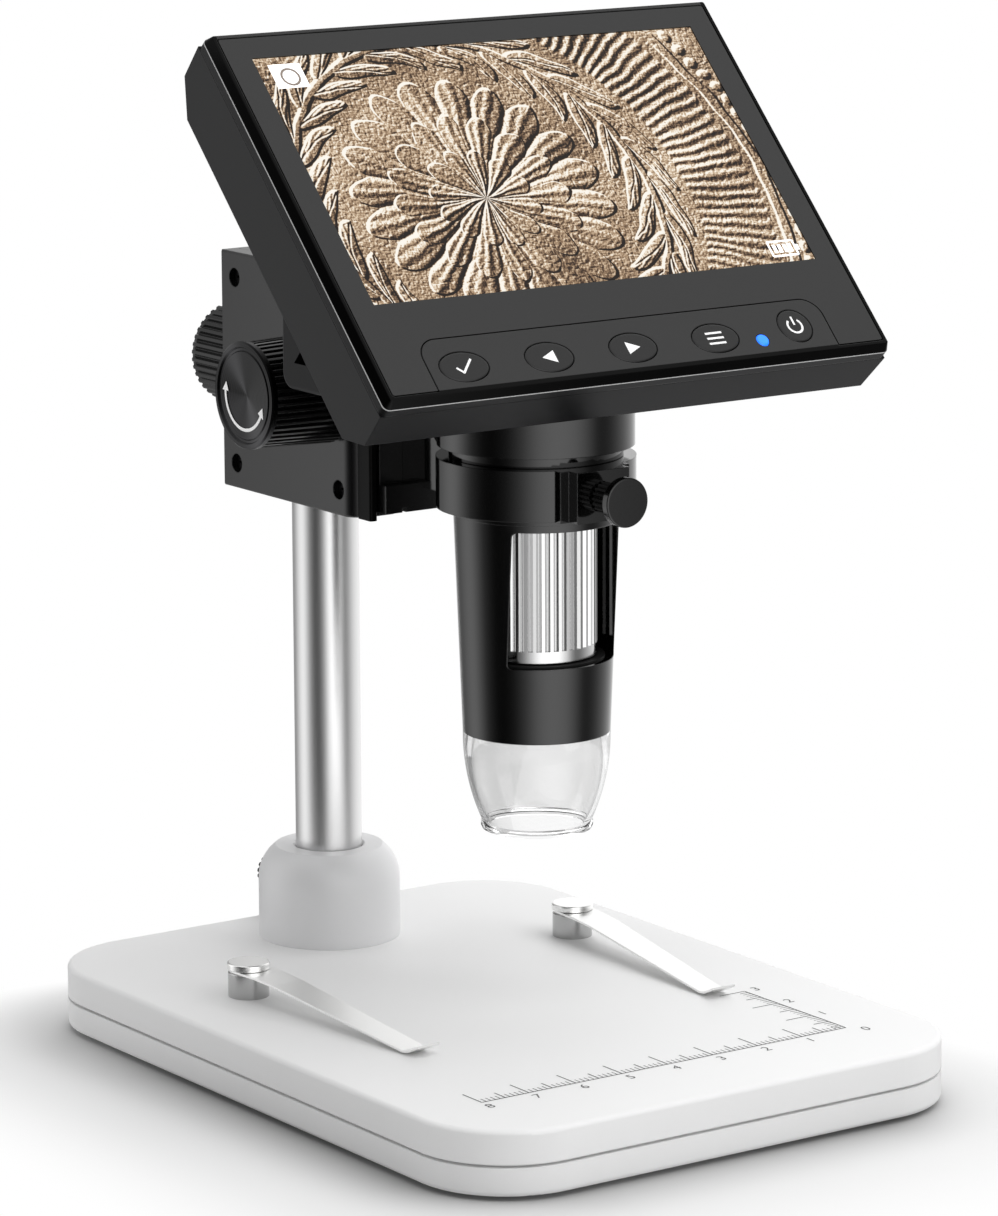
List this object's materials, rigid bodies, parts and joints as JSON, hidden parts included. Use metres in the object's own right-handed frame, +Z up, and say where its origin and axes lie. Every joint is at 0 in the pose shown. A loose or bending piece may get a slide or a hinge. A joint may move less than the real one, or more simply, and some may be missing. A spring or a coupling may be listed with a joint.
{
  "type": "lcd digital microscope",
  "caption": "Desk-stand digital microscope: tilted display over a lit lens barrel, rack and pinion focus on a clamped column, flat base with spring clips.",
  "frame": {"origin": "middle of the base's footprint, on the table plane the rubber feet stand on", "axes": "+Z up, -Y towards the user, +X to the user's right, looking at the display"},
  "size_m": [0.1098, 0.1623, 0.1921],
  "materials": {
    "white_shell": "satin",
    "foot_rubber": "matte",
    "zinc_steel": "satin",
    "bright_chrome": "polished",
    "column_aluminium": "satin",
    "plug_plastic": "matte",
    "block_anodised": "satin",
    "carriage_anodised": "satin",
    "brass": "satin",
    "knob_plastic": "gloss",
    "knob_cap_metal": "spun",
    "barrel_plastic": "gloss",
    "inner_plastic": "matte",
    "wheel_metal": "satin",
    "clear_plastic": "gloss",
    "lens_glass": "gloss",
    "circuit_board": "satin",
    "led_white": "gloss",
    "housing_plastic": "satin",
    "panel_plastic": "satin",
    "display": "gloss",
    "module_metal": "satin",
    "battery_wrap": "satin",
    "key_plastic": "satin",
    "led_blue": "gloss"
  },
  "bodies": {
    "base": {"base_bottom_shell": "white_shell", "base_top_shell": "white_shell", "ballast_plate": "zinc_steel", "rubber_feet": "foot_rubber", "base_screws": "zinc_steel", "column_holder": "white_shell", "holder_screws": "zinc_steel", "clip_posts": "bright_chrome", "clip_post_nuts": "zinc_steel", "clip_caps": "bright_chrome"},
    "clip_left": {"stage_clip_left": "bright_chrome"},
    "clip_right": {"stage_clip_right": "bright_chrome"},
    "holder_lock": {"holder_thumbscrew": "knob_plastic"},
    "column": {"column_tube": "column_aluminium", "column_end_plugs": "plug_plastic"},
    "block": {"focus_block": "block_anodised", "side_covers": "block_anodised", "cover_screws": "zinc_steel", "shaft_bushes": "brass", "gib_strips": "carriage_anodised", "lock_pad": "brass"},
    "block_lock": {"lock_stud": "zinc_steel", "lock_knob": "knob_plastic"},
    "focus_drive": {"pinion_shaft": "zinc_steel", "focus_knobs": "knob_plastic", "knob_faces": "knob_cap_metal"},
    "carriage": {"carriage_plate": "carriage_anodised", "ring_arm": "barrel_plastic", "arm_screws": "zinc_steel", "rack": "brass"},
    "ring_lock": {"ring_screw": "zinc_steel", "ring_screw_knob": "knob_plastic"},
    "head": {"barrel": "barrel_plastic", "guide_tube": "inner_plastic", "led_board": "circuit_board", "ring_leds": "led_white", "clear_hood": "clear_plastic", "sensor_board": "circuit_board", "neck_collar": "barrel_plastic", "front_bezel": "housing_plastic", "front_panel": "panel_plastic", "display_glass": "display", "display_module": "module_metal", "rear_housing": "housing_plastic", "main_board": "circuit_board", "battery": "battery_wrap", "usb_socket": "zinc_steel", "card_socket": "zinc_steel", "key_board": "circuit_board", "key_switches": "plug_plastic", "status_led": "led_blue", "case_screws": "zinc_steel"},
    "wheel": {"focus_wheel": "wheel_metal"},
    "lens": {"lens_cell": "inner_plastic", "objective_lens": "lens_glass"},
    "key_confirm": {"button_confirm": "key_plastic"},
    "key_left": {"button_left": "key_plastic"},
    "key_right": {"button_right": "key_plastic"},
    "key_menu": {"button_menu": "key_plastic"},
    "key_power": {"button_power": "key_plastic"}
  },
  "joints": [
    {"name": "clip_left_swing", "type": "hinge", "parent": "base", "child": "clip_left", "pos_m": [-0.0368, 0.0264, 0.0176], "axis": [0, 0, 1], "range_deg": [-15, 35]},
    {"name": "clip_right_swing", "type": "hinge", "parent": "base", "child": "clip_right", "pos_m": [0.0368, 0.0264, 0.0176], "axis": [0, 0, 1], "range_deg": [-35, 15]},
    {"name": "holder_lock_turn", "type": "hinge", "parent": "base", "child": "holder_lock", "pos_m": [0, 0.072, 0.0209], "axis": [0, 1, 0], "range_deg": [-180, 180]},
    {"name": "column_turn", "type": "hinge", "parent": "base", "child": "column", "pos_m": [0, 0.0553, 0.03], "axis": [0, 0, 1], "range_deg": [-90, 90]},
    {"name": "block_slide", "type": "slide", "parent": "column", "child": "block", "axis": [0, 0, 1], "range_m": [-0.018, 0.012]},
    {"name": "block_lock_turn", "type": "hinge", "parent": "block", "child": "block_lock", "pos_m": [0, 0.0759, 0.122], "axis": [0, 1, 0], "range_deg": [-180, 180]},
    {"name": "focus_slide", "type": "slide", "parent": "block", "child": "carriage", "axis": [0, 0, 1], "range_m": [-0.01, 0.01]},
    {"name": "focus_knob_turn", "type": "hinge", "parent": "block", "child": "focus_drive", "pos_m": [0, 0.0285, 0.1243], "axis": [1, 0, 0], "range_deg": [-121, 121]},
    {"name": "ring_lock_turn", "type": "hinge", "parent": "carriage", "child": "ring_lock", "pos_m": [0, -0.04, 0.1112], "axis": [0, 1, 0], "range_deg": [-180, 180]},
    {"name": "head_turn", "type": "hinge", "parent": "carriage", "child": "head", "pos_m": [0, -0.014, 0.112], "axis": [0, 0, 1], "range_deg": [-10, 10]},
    {"name": "wheel_turn", "type": "hinge", "parent": "head", "child": "wheel", "pos_m": [0, -0.014, 0.092], "axis": [0, 0, 1], "range_deg": [-180, 180]},
    {"name": "lens_slide", "type": "slide", "parent": "head", "child": "lens", "axis": [0, 0, 1], "range_m": [-0.00188, 0.00188]},
    {"name": "press_confirm", "type": "slide", "parent": "head", "child": "key_confirm", "axis": [0, 0.7169, -0.6972], "range_m": [0, 0.0004], "stiffness_N_per_m": 200, "springref_m": -0.001},
    {"name": "press_left", "type": "slide", "parent": "head", "child": "key_left", "axis": [0, 0.7169, -0.6972], "range_m": [0, 0.0004], "stiffness_N_per_m": 200, "springref_m": -0.001},
    {"name": "press_right", "type": "slide", "parent": "head", "child": "key_right", "axis": [0, 0.7169, -0.6972], "range_m": [0, 0.0004], "stiffness_N_per_m": 200, "springref_m": -0.001},
    {"name": "press_menu", "type": "slide", "parent": "head", "child": "key_menu", "axis": [0, 0.7169, -0.6972], "range_m": [0, 0.0004], "stiffness_N_per_m": 200, "springref_m": -0.001},
    {"name": "press_power", "type": "slide", "parent": "head", "child": "key_power", "axis": [0, 0.7169, -0.6972], "range_m": [0, 0.0004], "stiffness_N_per_m": 200, "springref_m": -0.001}
  ],
  "couplings": [
    {"joint": "focus_knob_turn", "follows": "focus_slide", "rad_per_m": -208.33},
    {"joint": "wheel_turn", "follows": "lens_slide", "rad_per_m": 1666.7}
  ]
}
